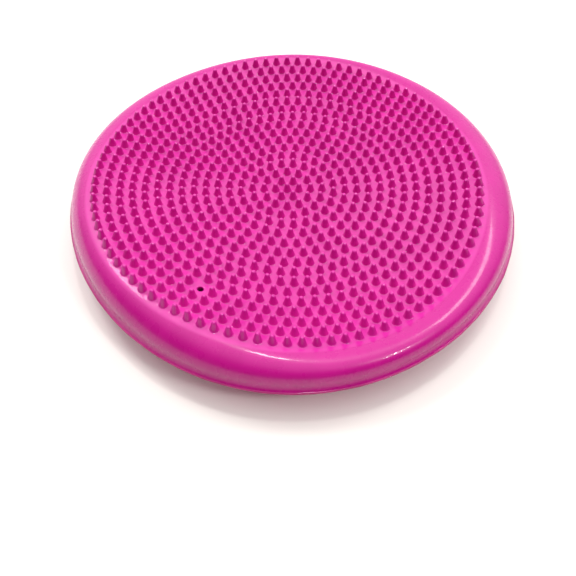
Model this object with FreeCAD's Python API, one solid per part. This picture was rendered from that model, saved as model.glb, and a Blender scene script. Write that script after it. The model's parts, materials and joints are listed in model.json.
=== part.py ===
import FreeCAD, Part

import math
import os

# An inflatable wobble cushion: two moulded PVC halves welded round the rim, a dished top face full of
# massage nubs, and a self-sealing needle valve under the top skin.
# Units are millimetres. +Z is up, and the origin is the centre of the ring that stands on the floor.

# Driving dimensions
PITCH = 9.2               # spacing of the nub rings, and of the nubs round each ring
NUB_RINGS = 16            # nub rings on the top face, where ring k holds 6k nubs
OUTER_R = 170.0           # radius of the rim at the weld, without the weld's ridge
WALL = 3.0                # skin thickness
SEAM_Z = 26.0             # height of the weld that joins the two halves
FACE_CENTRE_Z = 29.5      # middle of the dished top face
FACE_DISH = 14.5          # how much higher the outer nub ring stands than the middle
UNDERSIDE_DISH = 7.0      # how far the middle of the underside clears the floor
SHOULDER_R = 20.0         # section radius from the edge of the dish up to the rim's crest
SIDE_R = 60.0             # section radius of the rim's side wall above the weld
WELD_HALF = 0.9           # half the height of the weld
WELD_OUT = 3.0            # how far the weld's ridge stands out of the rim

# Top nubs: round pegs that taper to a small rounded tip
NUB_BASE_R = 2.95
NUB_TIP_R = 1.75
NUB_HEIGHT = 6.5
NUB_TIP_ROUND = 0.8
# Where a ring starts, in quarters of the gap between two of its nubs. The other rings start at +X.
RING_START_QUARTERS = {4: 2, 5: 3, 6: 3, 7: 3, 8: 3, 10: 2, 11: 2}

# Underside studs: low and blunt
STUD_RINGS = 11
STUD_BASE_R = 2.6
STUD_TIP_R = 1.9
STUD_HEIGHT = 1.6
STUD_TIP_ROUND = 0.5

# Rest ring, the flat band that stands on the floor
REST_OUTER_R = 130.0
REST_INNER_R = 120.0

# Valve, which takes the place of one nub
VALVE_RING = 13
VALVE_ANGLE = -120.0      # degrees round from +X
MOUTH_R = 2.75            # hole in the skin
FLANGE_R = 13.0
FLANGE_THICK = 2.0
TUBE_R = 7.0
TUBE_LENGTH = 16.0
PLUG_R = 4.5
PLUG_LIP_R = 5.8
PLUG_LIP_THICK = 1.8
NEEDLE_R = 1.3
NEEDLE_DEPTH = 12.0
LEAD_IN_R = 2.3
LEAD_IN_DEPTH = 1.0
SLIT_WIDTH = 0.3
SLIT_LENGTH = 3.6

EDGE_MATCH = 0.001        # how closely a length has to agree to be the same edge

UP = FreeCAD.Vector(0, 0, 1)
AXIS_FOOT = FreeCAD.Vector(0, 0, 0)

# Derived sizes
FIELD_R = NUB_RINGS * PITCH
DISH_R = (FIELD_R**2 + FACE_DISH**2) / (2 * FACE_DISH)
DISH_CENTRE_Z = FACE_CENTRE_Z + DISH_R
SHOULDER_START_R = FIELD_R + PITCH / 2
UNDER_R = (REST_INNER_R**2 + UNDERSIDE_DISH**2) / (2 * UNDERSIDE_DISH)
UNDER_CENTRE_Z = UNDERSIDE_DISH - UNDER_R


def point(r, z):
    """A point of a section, at radius r and height z."""
    return FreeCAD.Vector(r, 0, z)


def on_circle(centre, radius, degrees):
    """The point of a section circle that lies this many degrees up from +X."""
    turn = math.radians(degrees)
    return centre + point(radius * math.cos(turn), radius * math.sin(turn))


def arc(centre, radius, start, end):
    """A section arc from start to end, both in degrees."""
    ends = [on_circle(centre, radius, angle) for angle in (start, (start + end) / 2, end)]
    return Part.Arc(*ends).toShape()


def line(start, end):
    return Part.makeLine(start, end)


def revolved(edges):
    """The solid that a closed section sweeps round the Z axis."""
    face = Part.Face(Part.Wire(Part.__sortEdges__(edges)))
    return face.revolve(AXIS_FOOT, UP, 360)


def direction(centre, target):
    """How many degrees up from +X the target lies, seen from the centre."""
    return math.degrees(math.atan2(target.z - centre.z, target.x - centre.x))


def rolled_corner(side_centre, crest):
    """Centre and radius of the corner circle that leaves the crest level and runs smoothly into the side."""
    gap = crest - side_centre
    radius = (SIDE_R**2 - gap.dot(gap)) / (2 * (SIDE_R - gap.z))
    return crest - point(0, radius), radius


def ring_positions(rings):
    """(radius, angle in degrees) of the middle one and of the 6k in every ring k."""
    spots = [(0.0, 0.0)]
    for ring in range(1, rings + 1):
        step = 60.0 / ring
        start = step * RING_START_QUARTERS.get(ring, 0) / 4
        spots += [(ring * PITCH, start + step * number) for number in range(6 * ring)]
    return spots


def is_valve(radius, angle):
    """Whether the valve takes this nub's place."""
    apart = (angle - VALVE_ANGLE + 180) % 360 - 180
    return abs(radius - VALVE_RING * PITCH) < 0.1 and abs(apart) < 1


def moved_over(shape, sphere_centre_z, sphere_r, radius, angle):
    """A copy of a shape that stands at a dish's middle, carried over the dish to a radius and an angle."""
    turn = math.radians(angle)
    axle = FreeCAD.Vector(math.sin(turn), -math.cos(turn), 0)
    if sphere_centre_z < 0:
        axle = -axle
    tilt = math.degrees(math.asin(radius / sphere_r))
    copy = shape.copy()
    copy.rotate(FreeCAD.Vector(0, 0, sphere_centre_z), axle, tilt)
    return copy


def peg_skin(base_r, tip_r, height, tip_round, sphere_r):
    """The outer skin of a tapered peg with a rounded tip, whose foot ring lies on a sphere that touches z = 0."""
    foot = point(base_r, sphere_r - math.sqrt(sphere_r**2 - base_r**2))
    slope = math.degrees(math.atan2(height - foot.z, base_r - tip_r))
    tip_centre = point(tip_r - tip_round, height - tip_round)
    side_top = on_circle(tip_centre, tip_round, 90 - slope)
    edges = [
        line(foot, side_top),
        arc(tip_centre, tip_round, 90 - slope, 90),
        line(point(tip_centre.x, height), point(0, height)),
    ]
    return Part.Wire(edges).revolve(AXIS_FOOT, UP, 360)


def foot_ring(peg, base_r):
    """The closed edge round a peg's foot, as a wire."""
    around = 2 * math.pi * base_r
    ring = next(edge for edge in peg.Edges if abs(edge.Length - around) < EDGE_MATCH)
    return Part.Wire([ring])


def dish_face(centre_z, radius, edge_r):
    """A dish-shaped piece of a sphere, inside the circle of radius edge_r round the Z axis.

    The sphere's own poles lie on its sides, so that no seam crosses the dish.
    """
    sphere = Part.Sphere()
    sphere.Center = point(0, centre_z)
    sphere.Radius = radius
    sphere.Axis = FreeCAD.Vector(0, 1, 0)
    height_over_centre = -radius if centre_z > 0 else radius
    u, v = sphere.parameter(point(0, centre_z + height_over_centre))
    reach = 2 * edge_r / radius
    patch = sphere.toShape(u - reach, u + reach, v - reach, v + reach)
    cutter = Part.makeCylinder(edge_r, 2 * OUTER_R, point(0, -OUTER_R), UP)
    return patch.common(cutter).Faces[0]


def is_sphere(face, radius):
    """Whether a face lies on a sphere of this radius."""
    surface = face.Surface
    return surface.TypeId == "Part::GeomSphere" and abs(surface.Radius - radius) < EDGE_MATCH


def with_pegs(skin, edge_r, centre_z, radius, pegs, base_r):
    """A skin solid whose outer dish face, which ends at edge_r, grows the pegs."""
    others = [face for face in skin.Faces if not is_sphere(face, radius)]
    dish = dish_face(centre_z, radius, edge_r)
    dish.cutHoles([foot_ring(peg, base_r) for peg in pegs])
    dish.validate()
    joined = Part.makeCompound(others + [dish] + [face for peg in pegs for face in peg.Faces])
    joined.sewShape()
    solid = Part.Solid(joined.Shells[0])
    if solid.Volume < 0:
        solid.reverse()
    return solid


def upper_skin():
    """The top half: dished face, shoulder up to the crest, rolled edge and side wall down to the weld."""
    dish_centre = point(0, DISH_CENTRE_Z)
    side_centre = point(OUTER_R - SIDE_R, SEAM_Z + WELD_HALF)
    drop = math.sqrt(DISH_R**2 - SHOULDER_START_R**2)
    start = point(SHOULDER_START_R, DISH_CENTRE_Z - drop)
    shoulder_centre = start + (start - dish_centre).normalize() * SHOULDER_R
    crest = shoulder_centre + point(0, SHOULDER_R)
    corner_centre, corner_r = rolled_corner(side_centre, crest)
    out_of_dish = direction(dish_centre, start)
    into_side = direction(side_centre, corner_centre)

    def outline(depth):
        return [
            arc(dish_centre, DISH_R + depth, -90, out_of_dish),
            arc(shoulder_centre, SHOULDER_R - depth, out_of_dish + 180, 90),
            arc(corner_centre, corner_r - depth, 90, into_side),
            arc(side_centre, SIDE_R - depth, into_side, 0),
        ]

    closing = [
        line(point(0, FACE_CENTRE_Z), point(0, FACE_CENTRE_Z - WALL)),
        line(point(OUTER_R, SEAM_Z + WELD_HALF), point(OUTER_R - WALL, SEAM_Z + WELD_HALF)),
    ]
    return revolved(outline(0) + outline(WALL) + closing)


def lower_skin():
    """The bottom half: a side that curves in under the rim, a flat rest ring and a shallow dish."""
    side_top = SEAM_Z - WELD_HALF
    side_r = ((OUTER_R - REST_OUTER_R) ** 2 + side_top**2) / (2 * side_top)
    side_centre = point(REST_OUTER_R, side_r)
    dish_centre = point(0, UNDER_CENTRE_Z)

    def side_start(depth):
        """How many degrees up from +X the side starts, so that it meets the weld's flat underside."""
        return math.degrees(math.asin((side_top - side_r) / (side_r - depth)))

    def outline(depth):
        dish_r = UNDER_R + depth
        dish_edge = math.sqrt(dish_r**2 - (depth - UNDER_CENTRE_Z) ** 2)
        edge = point(dish_edge, depth)
        return [
            arc(side_centre, side_r - depth, side_start(depth), -90),
            line(point(REST_OUTER_R, depth), edge),
            arc(dish_centre, dish_r, direction(dish_centre, edge), 90),
        ]

    closing = [
        line(point(0, UNDERSIDE_DISH), point(0, UNDERSIDE_DISH + WALL)),
        line(point(OUTER_R, side_top), on_circle(side_centre, side_r - WALL, side_start(WALL))),
    ]
    return revolved(outline(0) + outline(WALL) + closing)


def over_face(shape, radius, angle):
    """A shape built on the top face's middle, carried to its place on the face."""
    return moved_over(shape, DISH_CENTRE_Z, DISH_R, radius, angle)


def at_valve(shape):
    """A shape built with its mouth on z = 0, carried to the valve's place under the top face."""
    lifted = shape.copy()
    lifted.translate(point(0, FACE_CENTRE_Z))
    return over_face(lifted, VALVE_RING * PITCH, VALVE_ANGLE)


def upper_shell():
    """The top half with its nubs and the hole over the valve."""
    nub = peg_skin(NUB_BASE_R, NUB_TIP_R, NUB_HEIGHT, NUB_TIP_ROUND, DISH_R)
    nub.translate(point(0, FACE_CENTRE_Z))
    spots = [spot for spot in ring_positions(NUB_RINGS) if not is_valve(*spot)]
    nubs = [over_face(nub, radius, angle) for radius, angle in spots]
    solid = with_pegs(upper_skin(), SHOULDER_START_R, DISH_CENTRE_Z, DISH_R, nubs, NUB_BASE_R)
    mouth = Part.makeCylinder(MOUTH_R, WALL * 3, point(0, -WALL * 2), UP)
    return solid.cut(at_valve(mouth))


def lower_shell():
    """The bottom half with its studs."""
    stud = peg_skin(STUD_BASE_R, STUD_TIP_R, STUD_HEIGHT, STUD_TIP_ROUND, UNDER_R)
    stud.rotate(AXIS_FOOT, FreeCAD.Vector(1, 0, 0), 180)
    stud.translate(point(0, UNDERSIDE_DISH))
    spots = ring_positions(STUD_RINGS)
    studs = [moved_over(stud, UNDER_CENTRE_Z, UNDER_R, radius, angle) for radius, angle in spots]
    return with_pegs(lower_skin(), REST_INNER_R, UNDER_CENTRE_Z, UNDER_R, studs, STUD_BASE_R)


def seam_bead():
    """The weld between the halves, with the thin round-edged ridge that stands out of the rim."""
    inner = OUTER_R - WALL
    edge_r = OUTER_R + WELD_OUT - WELD_HALF
    top = SEAM_Z + WELD_HALF
    bottom = SEAM_Z - WELD_HALF
    edges = [
        line(point(edge_r, top), point(inner, top)),
        line(point(inner, top), point(inner, bottom)),
        line(point(inner, bottom), point(edge_r, bottom)),
        arc(point(edge_r, SEAM_Z), WELD_HALF, -90, 90),
    ]
    return revolved(edges)


def valve_boss():
    """The flanged tube bonded under the skin, which holds the plug."""
    flange_top = -WALL
    flange_bottom = flange_top - FLANGE_THICK
    tube_bottom = flange_bottom - TUBE_LENGTH
    section = [
        point(MOUTH_R, flange_top),
        point(FLANGE_R, flange_top),
        point(FLANGE_R, flange_bottom),
        point(TUBE_R, flange_bottom),
        point(TUBE_R, tube_bottom),
        point(PLUG_R, tube_bottom),
        point(PLUG_R, flange_bottom),
        point(MOUTH_R, flange_bottom),
    ]
    edges = [line(start, end) for start, end in zip(section, section[1:] + section[:1])]
    return at_valve(revolved(edges))


def valve_plug():
    """The rubber plug: a needle channel with a lead-in, closed below by a slit, and a retaining lip."""
    top = -WALL - FLANGE_THICK
    lip_top = top - TUBE_LENGTH
    bottom = lip_top - PLUG_LIP_THICK
    channel_end = top - NEEDLE_DEPTH
    section = [
        point(LEAD_IN_R, top),
        point(PLUG_R, top),
        point(PLUG_R, lip_top),
        point(PLUG_LIP_R, lip_top),
        point(PLUG_LIP_R, bottom),
        point(0, bottom),
        point(0, channel_end),
        point(NEEDLE_R, channel_end),
        point(NEEDLE_R, top - LEAD_IN_DEPTH),
    ]
    edges = [line(start, end) for start, end in zip(section, section[1:] + section[:1])]
    corner = FreeCAD.Vector(-SLIT_LENGTH / 2, -SLIT_WIDTH / 2, bottom - 1)
    slit = Part.makeBox(SLIT_LENGTH, SLIT_WIDTH, channel_end - bottom + 2, corner)
    return at_valve(revolved(edges).cut(slit))


def write(name, shape):
    """One STEP file per node, as plain solids."""
    if len(shape.Solids) != 1 or not shape.isValid():
        raise ValueError(f"{name} isn't one sound solid")
    shape.Solids[0].exportStep(f"parts/{name}.step")


def main():
    os.makedirs("parts", exist_ok=True)
    pieces = [upper_shell, lower_shell, seam_bead, valve_boss, valve_plug]
    for piece in pieces:
        write(piece.__name__, piece())


main()
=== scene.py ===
import json
import math

import bmesh
import bpy
import numpy as np
from mathutils import Euler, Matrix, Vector
from mathutils.geometry import delaunay_2d_cdt


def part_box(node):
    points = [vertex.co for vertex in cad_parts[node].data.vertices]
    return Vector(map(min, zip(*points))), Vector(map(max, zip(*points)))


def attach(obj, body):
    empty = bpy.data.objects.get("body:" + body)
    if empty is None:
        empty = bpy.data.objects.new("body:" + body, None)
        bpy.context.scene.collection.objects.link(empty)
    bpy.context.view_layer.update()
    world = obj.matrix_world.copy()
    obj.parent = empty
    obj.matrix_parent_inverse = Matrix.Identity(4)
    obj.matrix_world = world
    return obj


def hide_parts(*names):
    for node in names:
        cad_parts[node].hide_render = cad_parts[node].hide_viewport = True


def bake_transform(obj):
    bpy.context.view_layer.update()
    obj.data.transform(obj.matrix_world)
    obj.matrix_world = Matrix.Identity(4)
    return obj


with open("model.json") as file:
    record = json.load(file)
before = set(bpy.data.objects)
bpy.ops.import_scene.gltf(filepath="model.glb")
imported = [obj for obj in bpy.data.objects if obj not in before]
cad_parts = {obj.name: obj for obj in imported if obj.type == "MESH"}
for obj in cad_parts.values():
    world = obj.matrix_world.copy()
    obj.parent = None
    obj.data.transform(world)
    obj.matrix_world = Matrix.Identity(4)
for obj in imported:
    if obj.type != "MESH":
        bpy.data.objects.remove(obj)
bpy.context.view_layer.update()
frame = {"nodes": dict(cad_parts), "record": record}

# Everything is in metres in the frame of the CAD part: +Z up, the floor at z = 0.
MM = 0.001

# Sizes read from the frame
mounts = {mount["name"]: mount for mount in frame["record"]["mounts"]}
MOUTH_R = mounts["valve_mouth"]["dims"]["r_mm"] * MM
upper_low, upper_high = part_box("upper_shell")
bead_low, bead_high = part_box("seam_bead")
OUTER_R = (upper_high.x - upper_low.x) / 2
WELD_R = (bead_high.x - bead_low.x) / 2
WELD_HALF = (bead_high.z - bead_low.z) / 2
SEAM_Z = (bead_high.z + bead_low.z) / 2

# Driving sizes of the moulding. Nubs and studs stand in rings, one pitch apart.
PITCH = 9.2 * MM
NUB_RINGS = 16
STUD_RINGS = 11
WALL = 3 * MM
FACE_ABOVE_SEAM = 3.5 * MM
FACE_DISH = 14.5 * MM
UNDERSIDE_DISH = 7 * MM
SHOULDER_R = 20 * MM
SIDE_R = 60 * MM
FILLET_OUT = 2.0 * MM
FILLET_HIGH = 4.5 * MM
REST_OUTER_R = 130 * MM
REST_INNER_R = 120 * MM
# The valve takes the place of a nub in this ring
VALVE_RING = 13
VALVE_ANGLE = math.radians(-120)
# Rings whose first peg is turned on from +X, by quarters of the step between pegs
RING_START_QUARTERS = {4: 2, 5: 3, 6: 3, 7: 3, 8: 3, 10: 2, 11: 2}

# Sizes worked out from them
FIELD_R = NUB_RINGS * PITCH
DISH_EDGE_R = FIELD_R + PITCH / 2
DISH_R = (FIELD_R**2 + FACE_DISH**2) / (2 * FACE_DISH)
UNDER_R = (REST_INNER_R**2 + UNDERSIDE_DISH**2) / (2 * UNDERSIDE_DISH)
FACE_CENTRE_Z = SEAM_Z + FACE_ABOVE_SEAM
MOUTH_SPOT = (VALVE_RING * PITCH * math.cos(VALVE_ANGLE), VALVE_RING * PITCH * math.sin(VALVE_ANGLE))

# How finely round things are meshed
ROUND_STEPS = 240
PEG_STEPS = 16
SHOULDER_STEPS = 5
CORNER_STEPS = 14
SIDE_STEPS = 24
SHARP_ANGLE = math.radians(50)
# Points closer together than this are one point, in a disc's flat plan and in a CAD node's mesh
SAME_FLAT_POINT = 1e-9
SAME_POINT = 0.002 * MM

# Outlines as (radius, height) in millimetres, from the foot on the skin to the tip
NUB_OUTLINE = [
    (3.90, 0.00), (3.55, 0.03), (3.25, 0.16), (3.05, 0.45), (2.92, 0.95), (2.35, 3.40),
    (1.72, 6.10), (1.55, 6.75), (1.22, 7.30), (0.68, 7.62),
]
STUD_OUTLINE = [(3.40, 0.00), (2.95, 0.03), (2.65, 0.25), (2.25, 1.20), (1.95, 1.52), (1.20, 1.64)]
MOUTH_OUTLINE = [(4.10, 0.00), (3.00, -0.05), (2.40, -0.30), (2.15, -0.80), (2.20, -1.30), (2.75, -1.80)]
# How far a tip's middle stands above its last ring, and how much the nubs lean at random, as a slope
TIP_CROWN = 0.04 * MM
NUB_LEAN = 0.02

# The cushion is only part-filled with air, so its skin waves a little round the circle. Each table is
# {(how many waves, power of the distance from the middle): (cosine, sine)}, in mm at the outer nubs.
FACE_LIFT = {
    (0, 2): (-4.4, 0.0), (0, 4): (3.5, 0.0), (1, 1): (-0.9, 2.5), (1, 3): (-1.7, -4.4),
    (2, 2): (7.6, 10.6), (2, 4): (-5.3, -6.5), (3, 3): (2.0, -1.6), (4, 4): (1.2, -0.4),
}
RIM_LIFT = {(0, 0): (-0.9, 0.0), (1, 0): (1.0, -0.8), (2, 0): (-0.7, 1.3), (3, 0): (-0.9, -1.1)}
RIM_SPREAD = {(0, 0): (0.5, 0.0), (1, 0): (3.1, -1.3), (2, 0): (2.5, -1.6), (3, 0): (0.4, 2.2)}
# The face lies this far to the back of the weld's middle, and the rim's waves take over from this radius
FACE_SLIDE = 0.9 * MM
RIM_STARTS_R = 144 * MM

# The trimmed ridge of the weld: how full it is, and the counts of its ripples and range of their depths
RIDGE_FULL = 0.85
RIPPLE_COUNTS = (7, 17, 31, 53)
RIPPLE_DEPTH = (0.02, 0.08)

# Deeper and lighter colour of each PVC, and how rough it is where it's smooth
PVC = {
    "moulded_pvc": ((0.53, 0.004, 0.255), (0.57, 0.005, 0.275), 0.26),
    "seam_pvc": ((0.42, 0.008, 0.17), (0.52, 0.02, 0.22), 0.34),
    "valve_pvc": ((0.40, 0.006, 0.16), (0.47, 0.01, 0.19), 0.42),
}
# Roughness of the nubbed face, and how much painted shade deepens and warms the smooth rim's colour
MATT_FACE = 0.42
RIM_PAINTED_SHADE = 0.25
RIM_PAINTED_SHADE_COLOUR = (0.25, 0.003, 0.06)
# How far past the dish's edge the face's finish turns into the rim's, and the IOR of each
RIM_FADE = 3 * MM
FACE_IOR = 1.48
RIM_IOR = 1.36
# Sizes of the features in the PVC, and the depth of its two textures
CLOUD_SIZE = 22 * MM
BLOOM_SIZE = 9 * MM
GRAIN_SIZE = 0.9 * MM
PEEL_SIZE = 3 * MM
PEEL_DEPTH = 0.016 * MM
FINE_SIZE = 0.35 * MM
FINE_DEPTH = 0.006 * MM

# The studio: half the floor's width, how far it lies under the cushion, and its two faint tints
FLOOR_HALF = 3.0
FLOOR_GAP = 0.1 * MM
FLOOR_TINTS = ((0.80, 0.78, 0.73), (0.82, 0.80, 0.75))
# Light from the sky low down and in the direction where it's bright, and the backdrop the camera sees
SKY_LOW = (0.11, 0.06, 0.03)
SKY_BRIGHT = (1.48, 1.48, 1.52)
SKY_TOWARDS = (0, 0.5, 0.87)
BACKDROP = (0.85, 0.84, 0.82)
# Place, width, height and watts of each lamp. They all look at one point.
LAMPS = {
    "left_window": ((-0.62, 0.62, 1.34), 0.45, 0.35, 9),
    "right_window": ((0.64, 0.62, 1.34), 0.35, 0.35, 4.5),
    "ceiling": ((0.1, 0.3, 1.6), 0.15, 0.15, 4),
    "lamp": ((0.94, -0.70, 1.30), 0.3, 0.03, 6),
}
LAMP_AIM = (0, 0, 0.04)

# The camera: its distance from the middle of the face, its height angle there, how far it looks down,
# its small turn to the right, and its lens in mm on a 36 mm sensor
CAMERA_DISTANCE = 0.5014
CAMERA_RISE = math.radians(46.65)
CAMERA_LOOKS_DOWN = math.radians(55.51)
CAMERA_TURN = math.radians(-0.10)
CAMERA_LENS = 38.84

randoms = np.random.default_rng(16)


def eased(share):
    """0 before 0, 1 after 1, and a smooth climb between them."""
    share = np.clip(share, 0, 1)
    return share * share * (3 - 2 * share)


def waves(table, turn, share):
    """The sum of a table's waves at an angle and a share of the way out to the outer nubs."""
    total = 0
    for (count, power), (cosine, sine) in table.items():
        total = total + (cosine * np.cos(count * turn) + sine * np.sin(count * turn)) * share**power
    return total * MM


def settled(points):
    """Moves points of the evenly filled cushion to where they lie on the part-filled one."""
    x, y, z = points[:, 0], points[:, 1], points[:, 2]
    r = np.hypot(x, y)
    turn = np.arctan2(y, x)
    share = np.clip(r / FIELD_R, 0, 1)
    on_rim = eased((r - RIM_STARTS_R) / (WELD_R - RIM_STARTS_R))
    lift = waves(FACE_LIFT, turn, share) * (1 - on_rim) + waves(RIM_LIFT, turn, share) * on_rim
    raised = eased(z / SEAM_Z)
    grown = 1 + waves(RIM_SPREAD, turn, share) * on_rim / np.maximum(r, MM)
    slide = FACE_SLIDE * (1 - on_rim) * raised
    return np.stack([x * grown, y * grown + slide, z + lift * raised], axis=1)


class Dish:
    """A spherical dish, open towards the sphere's centre. half is -1 for the sphere's lower half."""

    def __init__(self, centre_z, radius, half):
        self.centre = Vector((0, 0, centre_z))
        self.radius = radius
        self.half = half

    def at(self, x, y):
        return Vector((x, y, self.centre.z + self.half * math.sqrt(self.radius**2 - x**2 - y**2)))

    def axes(self, x, y):
        """Three directions at a point: about +X and about +Y in the skin, and straight out of it."""
        out = (self.centre - self.at(x, y)).normalized()
        along = (Vector((1, 0, 0)) - out * out.x).normalized()
        return along, out.cross(along) * -self.half, out

    def deeper(self, depth):
        return Dish(self.centre.z, self.radius + depth, self.half)


TOP_DISH = Dish(FACE_CENTRE_Z + DISH_R, DISH_R, -1)
UNDER_DISH = Dish(UNDERSIDE_DISH - UNDER_R, UNDER_R, 1)


def circle(x, y, radius, steps):
    turns = [2 * math.pi * number / steps for number in range(steps)]
    return [(x + radius * math.cos(turn), y + radius * math.sin(turn)) for turn in turns]


def ring_spots(rings):
    """(x, y) of the middle peg and of the 6k pegs of every ring k."""
    spots = [(0.0, 0.0)]
    for ring in range(1, rings + 1):
        step = math.radians(60 / ring)
        start = step * RING_START_QUARTERS.get(ring, 0) / 4
        for number in range(6 * ring):
            turn = start + step * number
            spots.append((ring * PITCH * math.cos(turn), ring * PITCH * math.sin(turn)))
    return spots


def is_mouth(spot):
    return math.dist(spot, MOUTH_SPOT) < PITCH / 4


def arc(centre, radius, start, end, steps):
    """(r, z) points along an arc, without the last one."""
    turns = np.linspace(start, end, steps, endpoint=False)
    return [(centre[0] + radius * math.cos(turn), centre[1] + radius * math.sin(turn)) for turn in turns]


def filleted(points):
    """Section points drawn outwards near the weld, into the fillet at the root of its ridge."""
    drawn = []
    for r, z in points:
        share = max(0.0, 1 - (abs(z - SEAM_Z) - WELD_HALF) / FILLET_HIGH)
        drawn.append((r + FILLET_OUT * min(share, 1.0) ** 2, z))
    return drawn


def upper_rim(deep):
    """(r, z) from the dish's edge over the crest and down to the weld, this deep in the skin.

    Three arcs run smoothly into each other: the shoulder, the corner past the crest and the long side.
    """
    lean = math.asin(DISH_EDGE_R / DISH_R)
    edge_z = TOP_DISH.at(DISH_EDGE_R, 0).z
    shoulder = (DISH_EDGE_R + SHOULDER_R * math.sin(lean), edge_z - SHOULDER_R * math.cos(lean))
    side = (OUTER_R - SIDE_R, SEAM_Z + WELD_HALF)
    reach = shoulder[0] - side[0]
    rise = shoulder[1] + SHOULDER_R - side[1]
    corner_r = (SIDE_R**2 - reach**2 - rise**2) / (2 * (SIDE_R - rise))
    corner = (shoulder[0], side[1] + rise - corner_r)
    meet = math.atan2(corner[1] - side[1], corner[0] - side[0])
    points = arc(shoulder, SHOULDER_R - deep, math.pi / 2 + lean, math.pi / 2, SHOULDER_STEPS)
    points += arc(corner, corner_r - deep, math.pi / 2, meet, CORNER_STEPS)
    points += arc(side, SIDE_R - deep, meet, 0, SIDE_STEPS)
    return points + [(OUTER_R - deep, side[1])]


def lower_rim(deep):
    """(r, z) from the rest ring's outer edge up one arc to the weld, this deep in the skin."""
    top = SEAM_Z - WELD_HALF
    side_r = ((OUTER_R - REST_OUTER_R) ** 2 + top**2) / (2 * top)
    meet = math.asin((top - side_r) / (side_r - deep))
    points = arc((REST_OUTER_R, side_r), side_r - deep, -math.pi / 2, meet, SIDE_STEPS)
    return points + [(REST_OUTER_R + (side_r - deep) * math.cos(meet), top)]


class Skin:
    """A closed skin put together from rings of vertices on the evenly filled cushion."""

    def __init__(self):
        self.verts = []
        self.faces = []

    def ring(self, points):
        first = len(self.verts)
        self.verts += points
        return list(range(first, len(self.verts)))

    def bridge(self, one, other):
        for step in range(len(one)):
            after = (step + 1) % len(one)
            self.faces.append((one[step], one[after], other[after], other[step]))

    def cap(self, ring, point):
        (tip,) = self.ring([point])
        for step in range(len(ring)):
            self.faces.append((ring[step], ring[(step + 1) % len(ring)], tip))

    def sweep(self, ring, section):
        """Carries an edge ring along (r, z) points, and returns the last ring."""
        for r, z in section:
            following = self.ring([(x, y, z) for x, y in circle(0, 0, r, ROUND_STEPS)])
            self.bridge(ring, following)
            ring = following
        return ring

    def disc(self, dish, edge_r, feet, loose=()):
        """Fills a dish out to edge_r round its foot circles (x, y, radius), with loose points between.

        Returns the edge's ring and each foot's ring.
        """
        flat = circle(0, 0, edge_r, ROUND_STEPS)
        sizes = [ROUND_STEPS]
        for x, y, radius in feet:
            flat += circle(x, y, radius, PEG_STEPS)
            sizes.append(PEG_STEPS)
        owner = []
        edges = []
        for number, size in enumerate(sizes):
            first = len(owner)
            owner += [number] * size
            edges += [(first + step, first + (step + 1) % size) for step in range(size)]
        flat += list(loose)
        owner += [0] * len(loose)
        found = delaunay_2d_cdt([Vector(point) for point in flat], edges, [], 1, SAME_FLAT_POINT)
        given = found[3]
        first = len(self.verts)
        self.ring([dish.at(vert.x, vert.y) for vert in found[0]])
        place = {sources[0]: first + number for number, sources in enumerate(given)}
        for face in found[2]:
            owners = {owner[given[vert][0]] for vert in face}
            if len(owners) > 1 or 0 in owners:
                self.faces.append(tuple(first + vert for vert in face))
        rings = []
        start = 0
        for size in sizes:
            rings.append([place[start + step] for step in range(size)])
            start += size
        return rings[0], rings[1:]

    def peg(self, foot, dish, spot, outline, lean=(0, 0)):
        """Grows an outline (mm) out of a foot ring, a little off straight. Returns its last ring."""
        along, across, out = dish.axes(*spot)
        up = out + along * lean[0] + across * lean[1]
        for radius, rise in outline[1:]:
            middle = dish.at(*spot) + up * rise * MM
            flat = circle(0, 0, radius * MM, PEG_STEPS)
            following = self.ring([middle + along * x + across * y for x, y in flat])
            self.bridge(foot, following)
            foot = following
        return foot

    def closed_peg(self, foot, dish, spot, outline, lean=(0, 0)):
        """A peg with its tip closed."""
        last = self.peg(foot, dish, spot, outline, lean)
        middle = sum((Vector(self.verts[vert]) for vert in last), Vector()) / len(last)
        self.cap(last, middle + dish.axes(*spot)[2] * TIP_CROWN)

    def piece(self, name):
        """The settled mesh as an object."""
        points = settled(np.array([tuple(vert) for vert in self.verts]))
        mesh = bpy.data.meshes.new(name)
        mesh.from_pydata(points.tolist(), [], self.faces)
        return shown(name, mesh)


def shown(name, mesh):
    """An object with its faces turned outwards, shaded smooth but for its corners."""
    shape = bmesh.new()
    shape.from_mesh(mesh)
    bmesh.ops.recalc_face_normals(shape, faces=shape.faces)
    for face in shape.faces:
        face.smooth = True
    shape.to_mesh(mesh)
    shape.free()
    mesh.set_sharp_from_angle(angle=SHARP_ANGLE)
    piece = bpy.data.objects.new(name, mesh)
    bpy.context.scene.collection.objects.link(piece)
    return piece


def upper_skin():
    """The moulded top half: dished face with nubs and valve mouth, shoulder, side and inner surface."""
    skin = Skin()
    spots = ring_spots(NUB_RINGS)
    feet = [(x, y, NUB_OUTLINE[0][0] * MM) for x, y in spots]
    edge, foot_rings = skin.disc(TOP_DISH, DISH_EDGE_R, feet)
    for spot, foot in zip(spots, foot_rings):
        lean = randoms.normal(0, NUB_LEAN, 2)
        if is_mouth(spot):
            mouth = skin.peg(foot, TOP_DISH, spot, MOUTH_OUTLINE)
        else:
            skin.closed_peg(foot, TOP_DISH, spot, NUB_OUTLINE, lean)
    weld = skin.sweep(edge, filleted(upper_rim(0)[1:]))
    inner = TOP_DISH.deeper(WALL)
    inner_edge_r = DISH_EDGE_R * inner.radius / DISH_R
    loose = [spot for spot in ring_spots(NUB_RINGS - 1) if not is_mouth(spot)]
    inner_edge, (inner_mouth,) = skin.disc(inner, inner_edge_r, [(*MOUTH_SPOT, MOUTH_R)], loose)
    inner_weld = skin.sweep(inner_edge, upper_rim(WALL)[1:])
    skin.bridge(weld, inner_weld)
    skin.bridge(mouth, inner_mouth)
    return skin.piece("upper_skin")


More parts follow.
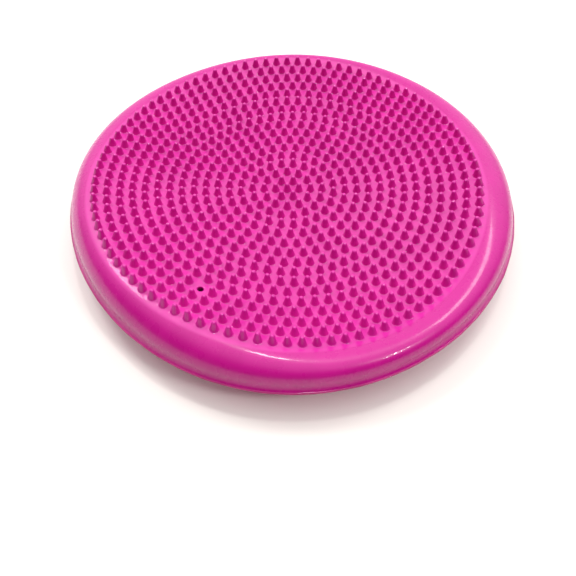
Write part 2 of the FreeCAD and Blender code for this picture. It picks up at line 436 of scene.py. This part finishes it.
def lower_skin():
    """The moulded bottom half: studded dish, rest ring, side and inner surface."""
    skin = Skin()
    spots = ring_spots(STUD_RINGS)
    feet = [(x, y, STUD_OUTLINE[0][0] * MM) for x, y in spots]
    edge, foot_rings = skin.disc(UNDER_DISH, REST_INNER_R, feet)
    for spot, foot in zip(spots, foot_rings):
        skin.closed_peg(foot, UNDER_DISH, spot, STUD_OUTLINE)
    weld = skin.sweep(edge, filleted(lower_rim(0)))
    inner_edge, _ = skin.disc(UNDER_DISH.deeper(WALL), REST_INNER_R, [], ring_spots(NUB_RINGS - 2))
    inner_weld = skin.sweep(inner_edge, lower_rim(WALL))
    skin.bridge(weld, inner_weld)
    return skin.piece("lower_skin")


def weld_bead():
    """The welded rim's thin trimmed ridge, a little uneven along its length, and the web behind it."""
    skin = Skin()
    ripples = []
    for count in RIPPLE_COUNTS:
        ripples.append((count, randoms.uniform(*RIPPLE_DEPTH), randoms.uniform(0, 2 * math.pi)))
    steps = 3 * ROUND_STEPS
    rounds = 9
    rings = []
    for number in range(steps):
        turn = 2 * math.pi * number / steps
        size = RIDGE_FULL + sum(depth * math.sin(count * turn + phase) for count, depth, phase in ripples)
        section = [(OUTER_R - WALL, SEAM_Z - WELD_HALF)]
        for step in range(rounds):
            angle = math.pi * (step / (rounds - 1) - 0.5)
            r = WELD_R - WELD_HALF + WELD_HALF * size * math.cos(angle)
            section.append((r, SEAM_Z + WELD_HALF * math.sin(angle)))
        section.append((OUTER_R - WALL, SEAM_Z + WELD_HALF))
        rings.append(skin.ring([(r * math.cos(turn), r * math.sin(turn), z) for r, z in section]))
    for number in range(steps):
        skin.bridge(rings[number], rings[(number + 1) % steps])
    return skin.piece("weld_bead")


def settled_copy(node, name):
    """A piece of the valve, carried along with the settled skin that it's joined to."""
    mesh = frame["nodes"][node].data.copy()
    mesh.name = name
    mesh.materials.clear()
    points = settled(np.array([tuple(vert.co) for vert in mesh.vertices]))
    mesh.vertices.foreach_set("co", points.ravel())
    shape = bmesh.new()
    shape.from_mesh(mesh)
    bmesh.ops.remove_doubles(shape, verts=shape.verts, dist=SAME_POINT)
    shape.to_mesh(mesh)
    shape.free()
    return shown(name, mesh)


class Nodes:
    """Short ways to build the nodes of a material or a world, from its shader and where its points are."""

    def __init__(self, owner, shader, place):
        owner.use_nodes = True
        self.tree = owner.node_tree
        self.shader = self.tree.nodes[shader]
        self.place = self.new("ShaderNodeTexCoord").outputs[place]

    def new(self, kind, **settings):
        node = self.tree.nodes.new(kind)
        for key, value in settings.items():
            setattr(node, key, value)
        return node

    def join(self, source, target):
        self.tree.links.new(source, target)

    def noise(self, size, detail=3.0):
        """Noise with features of about this size in metres."""
        node = self.new("ShaderNodeTexNoise")
        node.inputs["Scale"].default_value = 1 / size
        node.inputs["Detail"].default_value = detail
        self.join(self.place, node.inputs["Vector"])
        return node.outputs["Fac"]

    def spread(self, source, low, high, to_low=0.0, to_high=1.0):
        """Stretches low..high of source to to_low..to_high, smoothly and no further."""
        node = self.new("ShaderNodeMapRange", interpolation_type="SMOOTHSTEP")
        for key, value in zip(("From Min", "From Max", "To Min", "To Max"), (low, high, to_low, to_high)):
            node.inputs[key].default_value = value
        self.join(source, node.inputs["Value"])
        return node.outputs["Result"]

    def mix(self, share, first, second):
        """Colour mix. first and second are colours or sockets."""
        node = self.new("ShaderNodeMix", data_type="RGBA")
        self.join(share, node.inputs["Factor"])
        for key, value in (("A", first), ("B", second)):
            target = [socket for socket in node.inputs if socket.name == key and socket.type == "RGBA"][0]
            if isinstance(value, tuple):
                target.default_value = (*value, 1)
            else:
                self.join(value, target)
        return [socket for socket in node.outputs if socket.type == "RGBA"][0]

    def from_axis(self):
        """Distance from the Z axis."""
        flat = self.new("ShaderNodeVectorMath", operation="MULTIPLY")
        flat.inputs[1].default_value = (1, 1, 0)
        self.join(self.place, flat.inputs[0])
        length = self.new("ShaderNodeVectorMath", operation="LENGTH")
        self.join(flat.outputs["Vector"], length.inputs[0])
        return length.outputs["Value"]

    def sum(self, first, second):
        node = self.new("ShaderNodeMath", operation="ADD")
        self.join(first, node.inputs[0])
        self.join(second, node.inputs[1])
        return node.outputs["Value"]

    def bump(self, height, depth, strength=1.0, before=None):
        node = self.new("ShaderNodeBump")
        node.inputs["Distance"].default_value = depth
        node.inputs["Strength"].default_value = strength
        self.join(height, node.inputs["Height"])
        if before:
            self.join(before, node.inputs["Normal"])
        return node.outputs["Normal"]

    def set(self, **values):
        for key, value in values.items():
            socket = self.shader.inputs[key.replace("_", " ")]
            if hasattr(value, "is_linked"):
                self.join(value, socket)
            else:
                socket.default_value = value


def new_material(name):
    """A material, and the ways to build its nodes."""
    material = bpy.data.materials.new(name)
    return material, Nodes(material, "Principled BSDF", "Object")


def moulded_pvc(name):
    """Soft PVC: a faint cloud of two colours, orange peel, a matt nubbed face and a glossy rim with
    painted shade in its colour.
    """
    deep, light, gloss = PVC[name]
    material, nodes = new_material(name)
    cloud = nodes.spread(nodes.noise(CLOUD_SIZE), 0.35, 0.65)
    colour = nodes.mix(cloud, deep, light)
    grain = nodes.spread(nodes.noise(GRAIN_SIZE, 2), 0.3, 0.7)
    colour = nodes.mix(nodes.spread(grain, 0.55, 1.0, 0, 0.12), colour, light)
    rim = nodes.spread(nodes.from_axis(), DISH_EDGE_R, DISH_EDGE_R + RIM_FADE)
    # Painted shade: past the dish's edge the colour is mixed towards a dark warm red, for the darker,
    # warmer look of the shaded rim
    colour = nodes.mix(nodes.spread(rim, 0, 1, 0, RIM_PAINTED_SHADE), colour, RIM_PAINTED_SHADE_COLOUR)
    bloom = nodes.spread(nodes.noise(BLOOM_SIZE, 5), 0.4, 0.75, 0, 0.1)
    rough = nodes.sum(bloom, nodes.spread(rim, 0, 1, MATT_FACE, gloss))
    peel = nodes.bump(nodes.noise(PEEL_SIZE, 2), PEEL_DEPTH, 0.5)
    fine = nodes.bump(nodes.noise(FINE_SIZE, 2), FINE_DEPTH, 0.5, peel)
    nodes.set(Base_Color=colour, Roughness=rough, Normal=fine)
    nodes.set(IOR=nodes.spread(rim, 0, 1, FACE_IOR, RIM_IOR))
    nodes.set(Coat_Weight=0.28, Coat_Roughness=0.05, Coat_IOR=1.5)
    return material


def valve_rubber():
    """Dull dark rubber with a fine dusty grain."""
    material, nodes = new_material("valve_rubber")
    dust = nodes.spread(nodes.noise(1.2 * MM, 5), 0.45, 0.7)
    colour = nodes.mix(dust, (0.055, 0.006, 0.022), (0.11, 0.016, 0.05))
    nodes.set(Base_Color=colour, Roughness=nodes.spread(dust, 0, 1, 0.6, 0.8))
    nodes.set(Normal=nodes.bump(nodes.noise(0.25 * MM, 2), 0.02 * MM))
    return material


def floor_material():
    material, nodes = new_material("studio_floor")
    nodes.set(Base_Color=nodes.mix(nodes.noise(0.3), *FLOOR_TINTS), Roughness=0.7)
    return material


def paint(piece, material, slot, *stands_for):
    piece.data.materials.append(material)
    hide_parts(*stands_for)


def build_cushion():
    """Makes the pieces, gives them their finish, bakes the two skins in place, and ties the weld bead and
    the valve's pieces to the bodies that carry them.
    """
    upper = upper_skin()
    lower = lower_skin()
    bead = weld_bead()
    boss = settled_copy("valve_boss", "valve_socket")
    plug = settled_copy("valve_plug", "valve_stopper")

    skin = moulded_pvc("moulded_pvc")
    paint(upper, skin, "moulded_pvc", "upper_shell")
    paint(lower, skin, "moulded_pvc", "lower_shell")
    paint(bead, moulded_pvc("seam_pvc"), "seam_pvc", "seam_bead")
    paint(boss, moulded_pvc("valve_pvc"), "valve_pvc", "valve_boss")
    paint(plug, valve_rubber(), "valve_rubber", "valve_plug")

    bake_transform(lower)
    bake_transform(upper)
    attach(bead, "seam")
    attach(boss, "top")
    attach(plug, "top")


def build_lamp(name, place, width, height, watts):
    light = bpy.data.lights.new(name, "AREA")
    light.shape = "RECTANGLE"
    light.size = width
    light.size_y = height
    light.energy = watts
    lamp = bpy.data.objects.new(name, light)
    bpy.context.scene.collection.objects.link(lamp)
    lamp.location = place
    lamp.rotation_euler = (Vector(LAMP_AIM) - Vector(place)).to_track_quat("-Z", "Y").to_euler()


def build_floor():
    mesh = bpy.data.meshes.new("studio_floor")
    sides = [(-1, -1), (1, -1), (1, 1), (-1, 1)]
    corners = [(FLOOR_HALF * x, FLOOR_HALF * y, -FLOOR_GAP) for x, y in sides]
    mesh.from_pydata(corners, [], [(0, 1, 2, 3)])
    floor = bpy.data.objects.new("studio_floor", mesh)
    bpy.context.scene.collection.objects.link(floor)
    mesh.materials.append(floor_material())


def build_sky():
    """Soft light from above and behind, which the camera sees as a plain backdrop."""
    world = bpy.data.worlds.new("studio")
    bpy.context.scene.world = world
    nodes = Nodes(world, "Background", "Generated")
    towards = nodes.new("ShaderNodeVectorMath", operation="DOT_PRODUCT")
    towards.inputs[1].default_value = SKY_TOWARDS
    nodes.join(nodes.place, towards.inputs[0])
    share = nodes.spread(towards.outputs["Value"], 0.0, 0.9)
    seen = nodes.new("ShaderNodeLightPath").outputs["Is Camera Ray"]
    nodes.set(Color=nodes.mix(seen, nodes.mix(share, SKY_LOW, SKY_BRIGHT), BACKDROP), Strength=1.0)


def build_studio():
    """A pale floor under a soft sky, with four small lamps for the highlights."""
    build_floor()
    build_sky()
    for name, (place, width, height, watts) in LAMPS.items():
        build_lamp(name, place, width, height, watts)
    bpy.context.scene.view_settings.view_transform = "Standard"


def build_camera():
    """The view from the front, looking down at the face."""
    data = bpy.data.cameras.new("camera")
    data.sensor_width = 36
    data.lens = CAMERA_LENS
    data.clip_start = 0.01
    camera = bpy.data.objects.new("camera", data)
    bpy.context.scene.collection.objects.link(camera)
    back = math.cos(CAMERA_RISE) * CAMERA_DISTANCE
    up = math.sin(CAMERA_RISE) * CAMERA_DISTANCE
    camera.location = (0, -back, FACE_CENTRE_Z + up)
    camera.rotation_euler = Euler((math.pi / 2 - CAMERA_LOOKS_DOWN, 0, CAMERA_TURN))
    bpy.context.scene.camera = camera


build_cushion()
build_studio()
build_camera()
